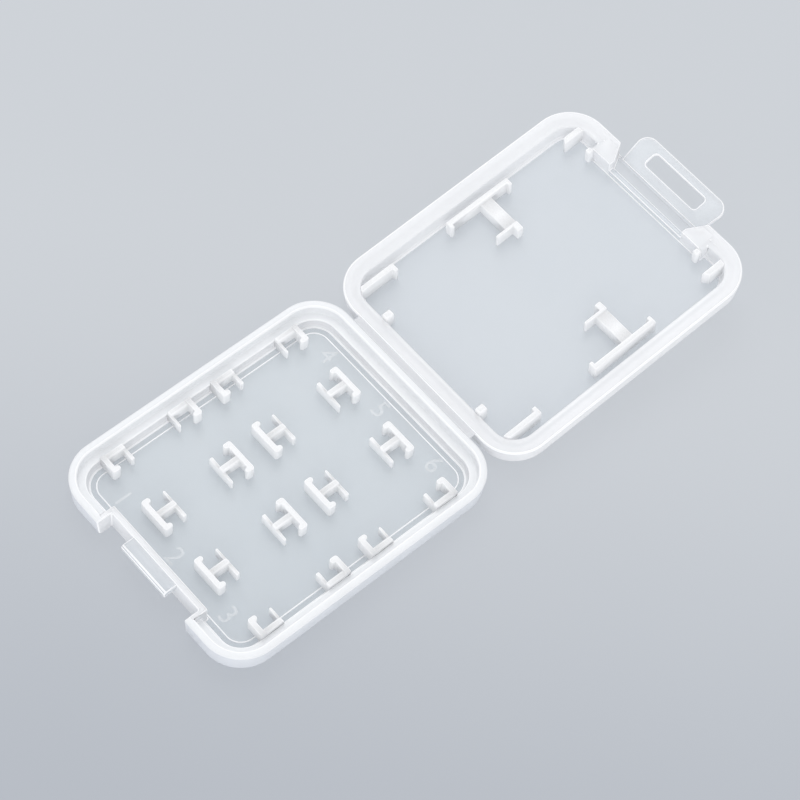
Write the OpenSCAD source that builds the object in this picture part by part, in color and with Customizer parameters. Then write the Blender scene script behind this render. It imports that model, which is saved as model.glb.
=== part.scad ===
// Memory card case, moulded in frosted natural polypropylene, lying open.
// X runs along the hinge, Y from the latch side of the base towards the lid, Z up.
// The origin is the centre of the base's underside. All sizes are in millimetres.

/* [Both halves] */
// Width of each half along the hinge
case_w = 57.6; // [57:0.1:64]
// Length of each half from the hinge edge to the latch edge
case_l = 70; // [69:0.5:80]
// Outer corner radius of both halves
corner_r = 9; // [8:0.5:10]
// How far the outer walls lean in towards the underside
draft = 0.3; // [0.1:0.1:0.6]
// Radius round the edge of the underside
edge_r = 1; // [0.6:0.1:1.4]

/* [Base] */
// Thickness of the base floor
base_floor_t = 1.3; // [0.9:0.1:1.6]
// Depth from the rim of the base down to its floor
base_depth = 4.2; // [3.8:0.1:6]
// Width of the rim of the base
rim_w = 1.7; // [1.2:0.1:2]
// Height above the floor of the ledge that runs round inside the rim
ledge_h = 2; // [1:0.1:2.6]
// Width of that ledge
ledge_w = 1.8; // [1.2:0.1:2]

/* [Catch on the base] */
// Width of the recess in the latch side of the base
notch_w = 27.1; // [26:0.1:28]
// Thickness of the walls at the ends of the recess
notch_end_t = 1.05; // [0.8:0.05:1.4]
// Depth of the recess, from the rim edge to the wall set back in it
notch_depth = 3.5; // [3.2:0.1:4]
// Thickness of the wall set back in the recess
notch_wall_t = 1.5; // [1:0.1:1.8]
// Width of the catch lug
lug_w = 13.5; // [8:0.5:14.4]
// How far the lug stands out of the wall set back in the recess
lug_reach = 3; // [2.4:0.1:3.1]
// Thickness of the lug
lug_t = 1.7; // [1:0.1:2]
// Depth of the lug's top below the rim
lug_drop = 0.1; // [0:0.1:0.3]

/* [Small card clips] */
// How far the end stems stand out from the side walls
stem_out = 0.55; // [0.4:0.05:0.8]
// Width of a small card slot, from thin flange to thin flange
slot_w = 11.25; // [11.1:0.05:12]
// How far each row of slots lies towards the middle, from halfway to the wall
row_shift = 1.725; // [1.5:0.025:2]
// Depth of a clip from its thin flange to the back of its thick flange
clip_depth = 5.7; // [4.6:0.1:5.9]
// Thickness of the stem of a clip
stem_t = 1.15; // [0.8:0.05:1.6]
// Height of the stem of a clip
stem_h = 2.9; // [2:0.1:3.2]
// Thickness of the thin flange, on the card's side
thin_t = 0.45; // [0.4:0.05:0.9]
// Half width of the thin flange
thin_half = 3.6; // [2.6:0.1:3.8]
// Height of the thin flange
thin_h = 2.4; // [1.6:0.1:3]
// Thickness of the thick flange, on the far side
thick_t = 1.2; // [0.8:0.05:1.6]
// Half width of the thick flange
thick_half = 4.1; // [3:0.1:4.2]
// Height of the thick flange
thick_h = 3.2; // [2.4:0.1:3.6]
// How far the ends of the thick flange curl back towards the stem
curl = 0.8; // [0.4:0.1:1.2]

/* [Lid] */
// Thickness of the lid floor
lid_floor_t = 0.7; // [0.6:0.05:1]
// Depth from the rim of the lid down to its floor
lid_depth = 4; // [3.6:0.1:6]
// Width of the wall of the lid at its rim
lid_wall = 3.7; // [3:0.1:4]
// Width of the outer part of that rim, which stands highest
lid_lip_w = 2.1; // [1.5:0.1:2.6]
// How far the inner part of the rim lies below the outer part
lid_step = 0.6; // [0.2:0.1:0.8]
// Width of the lid's recess for the latch at the outer edge
bay_w = 27.2; // [26:0.1:28]
// Width of that recess at the wall set back in it
bay_in_w = 22; // [21:0.1:23]
// Depth of the recess, from the outer edge to the wall set back in it
bay_depth = 4.45; // [4:0.05:4.8]
// Thickness of the wall set back in the recess
bay_wall_t = 1.3; // [1:0.1:1.5]
// Half width of the wall set back in the recess, on the inside
bay_wall_half = 17; // [16.5:0.5:18]

/* [Large card clips] */
// Distance of the inner side of the long bars from the lid's side wall
bar_side = 3.2; // [2.8:0.1:3.6]
// Thickness of the long bars
bar_t = 1.3; // [0.9:0.05:1.6]
// Distance of the hinge end of the long bars from the hinge line
bar_from = 29; // [28.4:0.1:29.6]
// Length of the long bars
bar_len = 17.2; // [16:0.1:18]
// Height of the long bars
bar_h = 3.9; // [3:0.1:4]
// How far the ends of the bars turn in
bar_lip = 0.8; // [0.4:0.1:1.2]
// Distance of the T's stem from the hinge line
tee_from = 37.8; // [36:0.1:38]
// Thickness of the T's stem
tee_t = 3.1; // [2:0.1:3.6]
// Height of the T's stem
tee_h = 3; // [2:0.1:3.4]
// Length of the T, from the long bar to the short flange
tee_reach = 8.6; // [8:0.1:9.2]
// Thickness of the short flange
tee_foot_t = 0.7; // [0.6:0.05:1]
// Length of the short flange past the stem
tee_foot_len = 2.8; // [1.6:0.1:3]
// Height of the short flange
tee_foot_h = 3.5; // [2.6:0.1:3.8]
// How far the pad at the end of the stem stands in
tee_pad = 1.6; // [0.6:0.1:2]

/* [Large card fins] */
// Thickness of the fins in the corners at the latch side
far_fin_t = 1.1; // [0.8:0.05:1.4]
// Distance of the inner side of those fins from the lid's side wall
far_fin_side = 3.85; // [3.6:0.05:4.3]
// How far the latch side fins stand in from the wall
far_fin_reach = 5.75; // [4:0.05:6.5]
// How far the hinge side fins stand in from the wall
near_fin_reach = 9.85; // [7:0.05:11]
// Thickness of the two hooks beside the latch recess
hook_t = 1; // [0.8:0.05:1.4]
// Width between those two hooks
hook_gap = 32; // [31:0.1:32.6]
// How far the hooks stand in from the wall
hook_reach = 1.5; // [1:0.1:2]
// Thickness of the two nubs at the hinge side
nub_t = 0.9; // [0.7:0.05:1.4]
// Width between those two nubs
nub_gap = 28; // [26:0.1:30]
// How far the nubs stand in from the wall
nub_reach = 2.25; // [1.5:0.05:3]

/* [Hinge] */
// Space between the two halves when they lie open
hinge_gap = 1.3; // [1:0.1:1.6]
// Width of the film that joins the two halves
film_w = 36; // [24:0.5:38]
// Thickness of the film
film_t = 0.3; // [0.25:0.05:0.45]
// Space that the closed lid leaves above the rim of the base
shut_gap = 0.3; // [0.2:0.05:0.5]
// How far the open lid is lifted, in degrees from lying flat
lid_lift = 5.5; // [0:0.5:20]

/* [Latch flap] */
// Distance of the flap's fold line from the outer edge of the lid
fold_in = 1.25; // [1:0.05:1.3]
// Length of the flap from its fold line to its end
flap_len = 8.6; // [7.6:0.1:8.7]
// Thickness of the flap
flap_t = 0.9; // [0.7:0.05:1]
// Width of the flap at its root
flap_root_w = 23.9; // [22:0.1:24.2]
// Width of the flap near its end
flap_w = 25.3; // [24.4:0.1:25.6]
// Corner radius at the end of the flap
flap_r = 2.8; // [1.5:0.1:3.4]
// Length of the slot in the flap
slot_len = 15.4; // [14.8:0.1:17]
// Distance of the slot's near edge from the fold line
slot_from = 2.9; // [2.4:0.1:3.2]
// Width of the slot
slot_open = 3.6; // [3.4:0.1:4]
// Corner radius of the slot
slot_r = 0.9; // [0.4:0.1:1.4]
// Clearance on each side of the fold line, so that the flap turns freely
fold_clear = 0.3; // [0.2:0.05:0.4]
// Clearance between the sides of the flap's root and the lid
flap_side = 0.45; // [0.3:0.05:0.5]
// How far the open flap is lifted out of the lid's plane, in degrees
flap_lift = 12; // [0:1:40]

/* [Hidden] */
$fn = 48;
// Overlap that joins two outlines drawn edge to edge
overlap = 0.01;
// How far a cut runs past the surface that it goes through
past = 1;

half_w = case_w / 2;
half_l = case_l / 2;
base_h = base_floor_t + base_depth;
lid_h = lid_floor_t + lid_depth;
base_wall = rim_w + ledge_w;
hinge_y = half_l + hinge_gap / 2;
hinge_z = base_h + shut_gap / 2;
lid_mid = hinge_gap / 2 + half_l;
lid_end = hinge_gap / 2 + case_l;
lid_in_half = half_w - lid_wall;
fold_s = lid_end - fold_in;
shelf_end = fold_s - fold_clear;
bay_wall_in = lid_end - bay_depth - bay_wall_t;
near_wall = hinge_gap / 2 + lid_wall;
base_in_half = half_w - base_wall;
base_in_half_l = half_l - base_wall;
slot_pitch = 2 * (base_in_half - stem_out) / 3;
slot_row_y = base_in_half_l / 2 - row_shift;
bar_x = lid_in_half - bar_side;

// Outline of a rectangle with round corners, centred on the origin
module round_rect(half_x, half_y, r) {
    square([2 * half_x, 2 * (half_y - r)], center = true);
    square([2 * (half_x - r), 2 * half_y], center = true);
    for (x = [-1, 1], y = [-1, 1])
        translate([x * (half_x - r), y * (half_y - r)]) circle(r);
}

// Sweeps a wall section round a half of the case. The section starts at the
// centre line of the corners and its outer edge is the corner radius away.
module round_the_case() {
    long = 2 * (half_l - corner_r);
    wide = 2 * (half_w - corner_r);
    for (turn = [0, 180]) {
        rotate(turn) translate([half_w - corner_r, 0, 0]) rotate([90, 0, 0])
            linear_extrude(long, center = true) children();
        rotate(turn + 90) translate([half_l - corner_r, 0, 0]) rotate([90, 0, 0])
            linear_extrude(wide, center = true) children();
    }
    for (mx = [0, 1], my = [0, 1])
        mirror([mx, 0, 0]) mirror([0, my, 0])
            translate([half_w - corner_r, half_l - corner_r, 0])
                rotate_extrude(angle = 90) children();
}

// Solid section of one half: a leaning outer side and a round lower edge
module outer_section(h) {
    foot = corner_r - draft;
    polygon([[0, 0], [foot - edge_r, 0], [foot, edge_r], [corner_r, h], [0, h]]);
    translate([foot - edge_r, edge_r]) circle(edge_r);
}

// The part of a section that is cut away down to height z, up to width w from its outer edge
module cut_section(w, z) {
    translate([-corner_r, z]) square([2 * corner_r - w, base_h + lid_h]);
}

// Flat middle of a half, between the corner centre lines
module middle(t) {
    translate([corner_r - half_w, corner_r - half_l, 0])
        cube([2 * (half_w - corner_r), 2 * (half_l - corner_r), t]);
}

// Base: a floor, a stepped wall and a recess on the latch side
module base_tray() {
    wall_face = half_l - notch_depth;
    end_half = notch_w / 2 + notch_end_t;
    color([0.90, 0.92, 0.94]) difference() {
        union() {
            middle(base_floor_t);
            round_the_case() difference() {
                outer_section(base_h);
                cut_section(base_wall, base_floor_t);
                cut_section(rim_w, base_floor_t + ledge_h);
            }
            translate([-end_half, -half_l + rim_w / 2, base_floor_t / 2])
                cube([2 * end_half, notch_depth + notch_wall_t - rim_w / 2, base_h - base_floor_t / 2]);
        }
        translate([-notch_w / 2, -half_l - past, -past])
            cube([notch_w, past + notch_depth, base_h + 2 * past]);
    }
}

// Lug in the recess that the flap's slot drops over
module catch_lug() {
    chamfer = lug_t / 4;
    top = base_h - lug_drop;
    root = notch_depth - half_l;
    color([0.93, 0.95, 0.97]) translate([-lug_w / 2, root, top])
        rotate([90, 0, 90]) linear_extrude(lug_w)
            polygon([
                [0, 0], [chamfer - lug_reach, 0], [-lug_reach, -chamfer],
                [-lug_reach, -lug_t], [0, -lug_t]
            ]);
}

// Flat bar with round ends, drawn without facets
module rounded_bar(half_len, t, h) {
    r = t / 2;
    linear_extrude(h) {
        square([2 * (half_len - r), t], center = true);
        for (x = [-1, 1]) translate([x * (half_len - r), 0]) circle(r);
    }
}

// One clip for small cards. Its thin flange faces +Y and lies at Y = 0.
// The thick flange ends in two short curls.
module clip_shape() {
    linear_extrude(stem_h) translate([-stem_t / 2, -clip_depth + thick_t / 2])
        square([stem_t, clip_depth - thick_t / 2 - thin_t / 2]);
    translate([0, -thin_t / 2, 0]) rounded_bar(thin_half, thin_t, thin_h);
    translate([0, thick_t / 2 - clip_depth, 0]) rounded_bar(thick_half, thick_t, thick_h);
    for (x = [-1, 1])
        translate([x * (thick_half - thick_t / 2), thick_t / 2 - clip_depth, 0]) {
            tip = thick_t / 2;
            linear_extrude(thick_h) {
                translate([-tip, 0]) square([thick_t, curl]);
                translate([0, curl]) circle(tip);
            }
        }
}

// Place of clip i: two columns of four, the second row of each pair turned round
function clip_row_y(k) = (k < 2 ? -slot_row_y : slot_row_y) + (k % 2 == 0 ? -slot_w / 2 : slot_w / 2);
function clip_turned(k) = k % 2 == 1;

module place_clip(x, k) {
    translate([x, clip_row_y(k), base_floor_t])
        rotate(clip_turned(k) ? 180 : 0) children();
}

module h_clip(i) {
    column = floor((i - 1) / 4) - 0.5;
    color([0.96, 0.97, 0.98]) place_clip(column * slot_pitch, (i - 1) % 4) clip_shape();
}

// Half of a clip, on a bar that stands against the side wall
module side_clip(i) {
    side = i <= 4 ? -1 : 1;
    color([0.96, 0.97, 0.98]) intersection() {
        place_clip(side * 1.5 * slot_pitch, (i - 1) % 4) clip_shape();
        linear_extrude(base_h) round_rect(base_in_half, base_in_half_l, corner_r - base_wall);
    }
}

// Puts a piece drawn in the lid's own plane where the open lid is.
// There Y is the distance from the hinge line and Z = 0 is the rim.
module in_lid() {
    translate([0, hinge_y, hinge_z]) rotate([lid_lift, 0, 0])
        translate([0, 0, -shut_gap / 2]) children();
}

// Outline of the latch recess, wider at the outer edge than at the wall set back in it
module bay_2d() {
    wall_out = lid_end - bay_depth;
    flare = (bay_w - bay_in_w) / 2 * (bay_depth + past) / bay_depth;
    inner = bay_in_w / 2;
    polygon([
        [-inner, wall_out], [inner, wall_out],
        [inner + flare, lid_end + past], [-inner - flare, lid_end + past]
    ]);
}

// Lid: a floor, a wide wall with a step in its rim, and a recess for the latch
module lid_shell() {
    fold_half = flap_root_w / 2 + flap_side;
    color([0.92, 0.94, 0.96]) in_lid() difference() {
        translate([0, lid_mid, -lid_h]) union() {
            middle(lid_floor_t);
            round_the_case() difference() {
                outer_section(lid_h);
                cut_section(lid_wall, lid_floor_t);
                cut_section(lid_lip_w, lid_h - lid_step);
            }
            translate([-bay_wall_half, bay_wall_in - lid_mid, lid_floor_t / 2])
                cube([2 * bay_wall_half, bay_depth + bay_wall_t - lid_lip_w / 2, lid_h - lid_floor_t / 2]);
        }
        translate([0, 0, -lid_depth]) linear_extrude(lid_depth + past) bay_2d();
        translate([-fold_half, shelf_end, -lid_h - past])
            cube([2 * fold_half, 2 * fold_in, lid_h + past - lid_depth / 2]);
    }
}

// Outline of the hollow of the lid
module lid_hollow_2d() {
    translate([0, lid_mid]) round_rect(lid_in_half, half_l - lid_wall, corner_r - lid_wall);
}

// A piece that stands on the lid floor, with its outline on the +X side
module on_lid_floor(side, h) {
    in_lid() mirror([side < 0 ? 1 : 0, 0, 0]) translate([0, 0, -lid_depth])
        linear_extrude(h) children();
}

// T-shaped clip: a long bar, a stem and a short flange with a pad
module tee_clip(side) {
    color([0.97, 0.98, 0.99]) {
        foot_x = bar_x - tee_reach;
        lip_len = bar_t * 0.75;
        union() {
            on_lid_floor(side, bar_h) {
                translate([bar_x, bar_from]) square([bar_t, bar_len]);
                for (y = [bar_from, bar_from + bar_len - lip_len])
                    translate([bar_x - bar_lip, y]) square([bar_lip + overlap, lip_len]);
            }
            on_lid_floor(side, tee_h)
                translate([foot_x + tee_foot_t / 2, tee_from])
                    square([bar_x + bar_t / 2 - foot_x - tee_foot_t / 2, tee_t]);
            on_lid_floor(side, tee_foot_h) {
                translate([foot_x, tee_from - tee_foot_len]) square([tee_foot_t, tee_foot_len + tee_t]);
                translate([foot_x - tee_pad, tee_from + tee_t / 2]) square([tee_pad + overlap, tee_t / 2]);
            }
        }
    }
}

// Fin in a corner at the hinge side, with a small lip at its free end
module near_fin(side) {
    end = near_wall + near_fin_reach;
    lip_len = bar_t * 0.75;
    color([0.97, 0.98, 0.99]) on_lid_floor(side, bar_h) intersection() {
        lid_hollow_2d();
        union() {
            translate([bar_x, 0]) square([bar_t, end]);
            translate([bar_x - bar_lip, end - lip_len]) square([bar_lip + overlap, lip_len]);
        }
    }
}

// Fin in a corner at the latch side, with a slanted end
module far_fin(side) {
    x = lid_in_half - far_fin_side;
    start = lid_end - lid_wall - far_fin_reach;
    color([0.97, 0.98, 0.99]) on_lid_floor(side, bar_h) intersection() {
        lid_hollow_2d();
        polygon([
            [x, start], [x + far_fin_t, start + far_fin_t],
            [x + far_fin_t, lid_end], [x, lid_end]
        ]);
    }
}

// Hook beside the latch recess
module hook(side) {
    x = hook_gap / 2;
    color([0.97, 0.98, 0.99]) on_lid_floor(side, bar_h) {
        translate([x, bay_wall_in - hook_reach + hook_t / 2])
            square([hook_t, hook_reach - hook_t / 2]);
        translate([x + hook_t / 2, bay_wall_in - hook_reach + hook_t / 2]) circle(hook_t / 2);
    }
}

// Small nub on the wall at the hinge side
module nub(side) {
    x = nub_gap / 2;
    color([0.97, 0.98, 0.99]) on_lid_floor(side, bar_h) {
        translate([x, near_wall]) square([nub_t, nub_reach - nub_t / 2]);
        translate([x + nub_t / 2, near_wall + nub_reach - nub_t / 2]) circle(nub_t / 2);
    }
}

// Film that joins the two halves, from rim to rim
module hinge_film() {
    lid_y = hinge_gap / 2;
    lid_z = -shut_gap / 2;
    function at_lid(y, z) = [
        hinge_y + y * cos(lid_lift) - z * sin(lid_lift),
        hinge_z + y * sin(lid_lift) + z * cos(lid_lift)
    ];
    color([0.94, 0.96, 0.98]) translate([-film_w / 2, 0, 0]) rotate([90, 0, 90])
        linear_extrude(film_w) polygon([
            [half_l, base_h - film_t], at_lid(lid_y, lid_z - film_t),
            at_lid(lid_y, lid_z), [half_l, base_h]
        ]);
}

// Puts a piece drawn in the flap's own plane where the open flap is.
// There Y is the distance from the fold line and Z = 0 is its inner face.
module in_flap() {
    in_lid() translate([0, fold_s, -lid_depth]) rotate([flap_lift, 0, 0]) children();
}

// Film at the root of the flap, between the shelf of the lid and the flap
module latch_film() {
    flap_y = fold_clear;
    half = (flap_root_w - 1) / 2;
    function at_flap(y, z) = [
        y * cos(flap_lift) - z * sin(flap_lift), y * sin(flap_lift) + z * cos(flap_lift)
    ];
    color([0.94, 0.96, 0.98]) in_lid() translate([-half, fold_s, -lid_depth])
        rotate([90, 0, 90]) linear_extrude(2 * half) polygon([
            [-fold_clear, -film_t], at_flap(flap_y, -film_t), at_flap(flap_y, 0), [-fold_clear, 0]
        ]);
}

// Flap with a slot that closes over the lug
module latch_flap() {
    half = flap_w / 2;
    root = flap_root_w / 2;
    mid = slot_from + slot_open / 2;
    color([0.95, 0.97, 0.99]) in_flap() translate([0, 0, -flap_t]) linear_extrude(flap_t)
        difference() {
            union() {
                polygon([
                    [-root, fold_clear], [root, fold_clear], [half, flap_len - flap_r],
                    [half - flap_r, flap_len], [flap_r - half, flap_len], [-half, flap_len - flap_r]
                ]);
                for (x = [-1, 1])
                    translate([x * (half - flap_r), flap_len - flap_r]) circle(flap_r);
            }
            translate([0, mid]) round_rect(slot_len / 2, slot_open / 2, slot_r);
        }
}

base_tray();
catch_lug();
for (i = [1:8]) {
    h_clip(i);
    side_clip(i);
}
hinge_film();
lid_shell();
tee_clip(-1);  // tee_clip_left
tee_clip(1);  // tee_clip_right
near_fin(-1);  // near_fin_left
near_fin(1);  // near_fin_right
far_fin(-1);  // far_fin_left
far_fin(1);  // far_fin_right
hook(-1);  // hook_left
hook(1);  // hook_right
nub(-1);  // nub_left
nub(1);  // nub_right
latch_film();
latch_flap();
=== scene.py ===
# %% [markdown]
# # Memory card case, lying open
# The case is one moulding of frosted natural polypropylene: a base tray with clips for six small
# cards, a lid with clips for two large cards, a thin hinge film between them and a latch flap with
# a slot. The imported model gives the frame: where each body lies and turns. This script gives the
# looks.

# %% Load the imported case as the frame
import bpy
import bmesh
import math
from mathutils import Matrix, Vector


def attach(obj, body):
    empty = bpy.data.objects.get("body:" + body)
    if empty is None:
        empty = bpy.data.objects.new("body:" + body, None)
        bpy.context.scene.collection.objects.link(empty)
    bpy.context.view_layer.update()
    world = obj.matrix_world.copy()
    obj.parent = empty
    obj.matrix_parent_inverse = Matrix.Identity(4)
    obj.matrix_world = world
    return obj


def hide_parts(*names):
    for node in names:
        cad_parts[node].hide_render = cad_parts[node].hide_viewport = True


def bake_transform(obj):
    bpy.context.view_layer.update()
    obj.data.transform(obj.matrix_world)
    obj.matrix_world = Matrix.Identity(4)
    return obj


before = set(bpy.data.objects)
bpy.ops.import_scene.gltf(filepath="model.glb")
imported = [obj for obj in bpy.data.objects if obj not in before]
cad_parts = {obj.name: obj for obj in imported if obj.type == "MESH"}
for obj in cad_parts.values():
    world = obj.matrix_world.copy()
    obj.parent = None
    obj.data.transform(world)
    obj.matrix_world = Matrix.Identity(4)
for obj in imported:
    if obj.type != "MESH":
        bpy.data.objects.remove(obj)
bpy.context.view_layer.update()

scene = bpy.context.scene

# %% [markdown]
# ## Camera
# The photograph looks down on the case from one corner with a long lens. The place and the turn of
# the camera are worked out from the rows of clips, whose real spacing is known. A long lens keeps
# the far half nearly as large as the near one, so the same long lens is used here.

# %% Place the camera
CAMERA_AT = Vector((183.498, -171.862, 458.11)) / 1000
CAMERA_RIGHT = Vector((0.6553, 0.7518, 0.0728))
CAMERA_LOOK = Vector((-0.343195, 0.382170, -0.857997))
LENS_MM, SENSOR_MM = 117.06, 36

camera_data = bpy.data.cameras.new("camera")
camera_data.lens = LENS_MM
camera_data.sensor_width = SENSOR_MM
camera_data.clip_start, camera_data.clip_end = 0.01, 10
camera = bpy.data.objects.new("camera", camera_data)
scene.collection.objects.link(camera)
look = CAMERA_LOOK.normalized()
right = (CAMERA_RIGHT - look * CAMERA_RIGHT.dot(look)).normalized()
up = right.cross(look)
facing = Matrix((right, up, -look)).transposed().to_4x4()
camera.matrix_world = Matrix.Translation(CAMERA_AT) @ facing
scene.camera = camera
scene.view_settings.view_transform = "Standard"
print("the camera looks down at", round(math.degrees(math.asin(-look.z)), 1), "degrees")

# %% [markdown]
# ## Small helpers for materials
# Every finish here is built from nodes. One helper adds a node, sets its sockets and links it, so
# that each material reads as a short list. Colours are written as the usual six-figure codes, and
# the renderer wants linear light, so a second helper converts them.

# %% Helpers for colours and nodes
def srgb(code):
    """A six-figure colour code as linear red, green, blue and alpha."""
    parts = [int(code[i:i + 2], 16) / 255 for i in (0, 2, 4)]
    linear = [p / 12.92 if p <= 0.04045 else ((p + 0.055) / 1.055) ** 2.4 for p in parts]
    return (*linear, 1.0)


def add_node(tree, kind, sockets=None, **settings):
    """Adds a node, sets its settings, and sets or links each named socket."""
    made = tree.nodes.new(kind)
    for name, value in settings.items():
        setattr(made, name, value)
    for name, value in (sockets or {}).items():
        if isinstance(value, bpy.types.NodeSocket):
            tree.links.new(value, made.inputs[name])
        else:
            made.inputs[name].default_value = value
    return made


def mixed_colour(tree, factor, first, second):
    """The output of a mix of two colours, each a colour code or the output of a node."""
    mix = add_node(tree, "ShaderNodeMix", data_type="RGBA")
    tree.links.new(factor, mix.inputs["Factor"])
    sockets = [socket for socket in mix.inputs if socket.type == "RGBA"]
    for socket, colour in zip(sockets, (first, second)):
        if isinstance(colour, bpy.types.NodeSocket):
            tree.links.new(colour, socket)
        else:
            socket.default_value = srgb(colour)
    return [socket for socket in mix.outputs if socket.type == "RGBA"][0]


def new_material(name):
    """An empty material with an output node."""
    material = bpy.data.materials.new(name)
    material.use_nodes = True
    material.node_tree.nodes.clear()
    return material, material.node_tree


def per_mm(size):
    """The scale of a noise whose marks are this many millimetres across."""
    return 1000 / size


print("white as linear light:", srgb("ffffff"))

# %% [markdown]
# ## The finish of frosted polypropylene
# Natural polypropylene is milky: light enters it, scatters and leaves again, so thick walls look
# white and thin floors stay clear. Real scattering inside the plastic is slow to render and is lost
# on export. A shader that passes part of the light through and scatters the rest gives the same
# look, with one number for how clear each part is. A solid is crossed twice, once on its way in and
# once on its way out, so it looks less clear than that number. Rounded edges gather the light and
# look whitest, so they get a painted highlight: a finish of their own, whiter and less clear. The
# inner walls get a painted light and the outer walls a painted shade, paler and greyer copies of
# the wall finish. The mould leaves a fine frosted grain, and the flow of the plastic leaves faint
# clouds a few millimetres across.

# %% Make a polypropylene finish
PP_IOR, ROUGH_SPREAD = 1.49, 0.06


def polypropylene(name, tint, cloud, clear, rough, grain_mm, grain_depth, flow_mm, flow_depth):
    """One finish: two near colours, how clear and how rough it is, and its grain and its clouds."""
    material, tree = new_material(name)
    where = add_node(tree, "ShaderNodeTexCoord").outputs["Object"]
    clouds = add_node(tree, "ShaderNodeTexNoise",
                      {"Vector": where, "Scale": per_mm(flow_mm), "Detail": 3.0, "Roughness": 0.5})
    grain = add_node(tree, "ShaderNodeTexNoise",
                     {"Vector": where, "Scale": per_mm(grain_mm), "Detail": 2.0, "Roughness": 0.6})
    colour = mixed_colour(tree, clouds.outputs["Fac"], tint, cloud)
    frosting = add_node(tree, "ShaderNodeMapRange",
                        {"Value": grain.outputs["Fac"], "From Min": 0.3, "From Max": 0.7,
                         "To Min": rough - ROUGH_SPREAD, "To Max": rough + ROUGH_SPREAD})
    waves = add_node(tree, "ShaderNodeBump", {"Height": clouds.outputs["Fac"], "Strength": 0.35,
                                              "Distance": flow_depth / 1000})
    frost = add_node(tree, "ShaderNodeBump", {"Height": grain.outputs["Fac"], "Strength": 0.5,
                                              "Distance": grain_depth / 1000,
                                              "Normal": waves.outputs["Normal"]})
    shader = add_node(tree, "ShaderNodeBsdfPrincipled",
                      {"Base Color": colour, "Roughness": frosting.outputs["Result"],
                       "Normal": frost.outputs["Normal"], "IOR": PP_IOR, "Alpha": 1 - clear})
    add_node(tree, "ShaderNodeOutputMaterial", {"Surface": shader.outputs["BSDF"]})
    return material


wall_pp = polypropylene("frosted_wall_polypropylene", "fefeff", "fafbfd", 0.36, 0.34,
                        0.35, 0.002, 14.0, 0.012)
# A painted shade: a greyer, less clear copy of the wall finish for the outer walls of the tray
outer_shaded_pp = polypropylene("outer_wall_painted_shade_polypropylene", "eff2f7", "e9edf3", 0.30, 0.34,
                         0.35, 0.002, 14.0, 0.012)
# A painted light: a paler, less clear copy of the wall finish for the inner walls of the tray, which
# would lie in shade
inner_lit_pp = polypropylene("inner_wall_painted_light_polypropylene", "fafbfc", "f5f7f9", 0.17, 0.32,
                         0.35, 0.002, 14.0, 0.012)
# The painted highlight: a whiter, less clear finish for rounded edges and upright faces, standing in
# for the light they gather
edge_highlight_pp = polypropylene("rounded_edge_painted_highlight_polypropylene", "ffffff", "fcfdff", 0.05, 0.22,
                        0.30, 0.001, 6.0, 0.02)
base_floor_pp = polypropylene("base_floor_polypropylene", "e4ebef", "dce5ea", 0.75, 0.22,
                              0.30, 0.001, 12.0, 0.04)
lid_floor_pp = polypropylene("lid_floor_polypropylene", "e5eaef", "dee5eb", 0.74, 0.16,
                             0.30, 0.001, 15.0, 0.05)
clip_pp = polypropylene("clip_polypropylene", "ffffff", "fbfcfe", 0.14, 0.28,
                        0.30, 0.001, 5.0, 0.02)
film_pp = polypropylene("hinge_film_polypropylene", "f2f3f5", "eceef1", 0.55, 0.26,
                        0.25, 0.0004, 3.0, 0.01)
flap_pp = polypropylene("flap_polypropylene", "eff2f5", "e8ecf0", 0.54, 0.28,
                        0.30, 0.001, 6.0, 0.02)
lug_pp = polypropylene("lug_polypropylene", "e8ecf0", "e1e6eb", 0.60, 0.30,
                       0.30, 0.001, 6.0, 0.02)
shelf_pp = polypropylene("latch_shelf_polypropylene", "f0f3f7", "eaeef3", 0.84, 0.24,
                         0.30, 0.001, 6.0, 0.02)
number_pp = polypropylene("number_polypropylene", "ffffff", "f8fafc", 0.82, 0.26,
                          0.30, 0.001, 6.0, 0.02)
print("finishes:", [m.name for m in bpy.data.materials if m.use_nodes])

# %% [markdown]
# ## Sizes of the case
# These are the sizes of the real case in millimetres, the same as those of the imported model. A wall
# is described by its section: how far in from the outer edge, and how high.

# %% Write down the sizes
CASE_W, CASE_L, CORNER_R, DRAFT, EDGE_R, FOOT_R = 57.6, 70.0, 9.0, 0.3, 1.0, 0.8
FLOOR_T, BASE_DEPTH, RIM_W, LEDGE_H, LEDGE_W = 1.3, 4.2, 1.7, 2.0, 1.8
BASE_H = FLOOR_T + BASE_DEPTH
LID_FLOOR_T, LID_DEPTH, LID_WALL, LIP_W, LIP_STEP = 0.7, 4.0, 3.7, 2.1, 0.6
LID_H = LID_FLOOR_T + LID_DEPTH
HINGE_GAP, SHUT_GAP, LID_LIFT, FLAP_LIFT = 1.3, 0.3, 5.5, 12.0
HINGE_Y, HINGE_Z = (CASE_L + HINGE_GAP) / 2, BASE_H + SHUT_GAP / 2
LID_MID, LID_END = (HINGE_GAP + CASE_L) / 2, HINGE_GAP / 2 + CASE_L
FOLD_S = LID_END - 1.25
BAY_DEPTH, BAY_WALL_T = 4.45, 1.3
BAY_WALL_IN = LID_END - BAY_DEPTH - BAY_WALL_T
CORNER_STEPS = 18

IN_LID = (Matrix.Translation((0, HINGE_Y, HINGE_Z))
          @ Matrix.Rotation(math.radians(LID_LIFT), 4, "X")
          @ Matrix.Translation((0, 0, -SHUT_GAP / 2)))
IN_FLAP = (IN_LID @ Matrix.Translation((0, FOLD_S, -LID_DEPTH))
           @ Matrix.Rotation(math.radians(FLAP_LIFT), 4, "X"))
TO_METRES = Matrix.Scale(0.001, 4)
print("the fold of the latch lies at", [round(c, 2) for c in IN_FLAP.translation], "mm")

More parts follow.
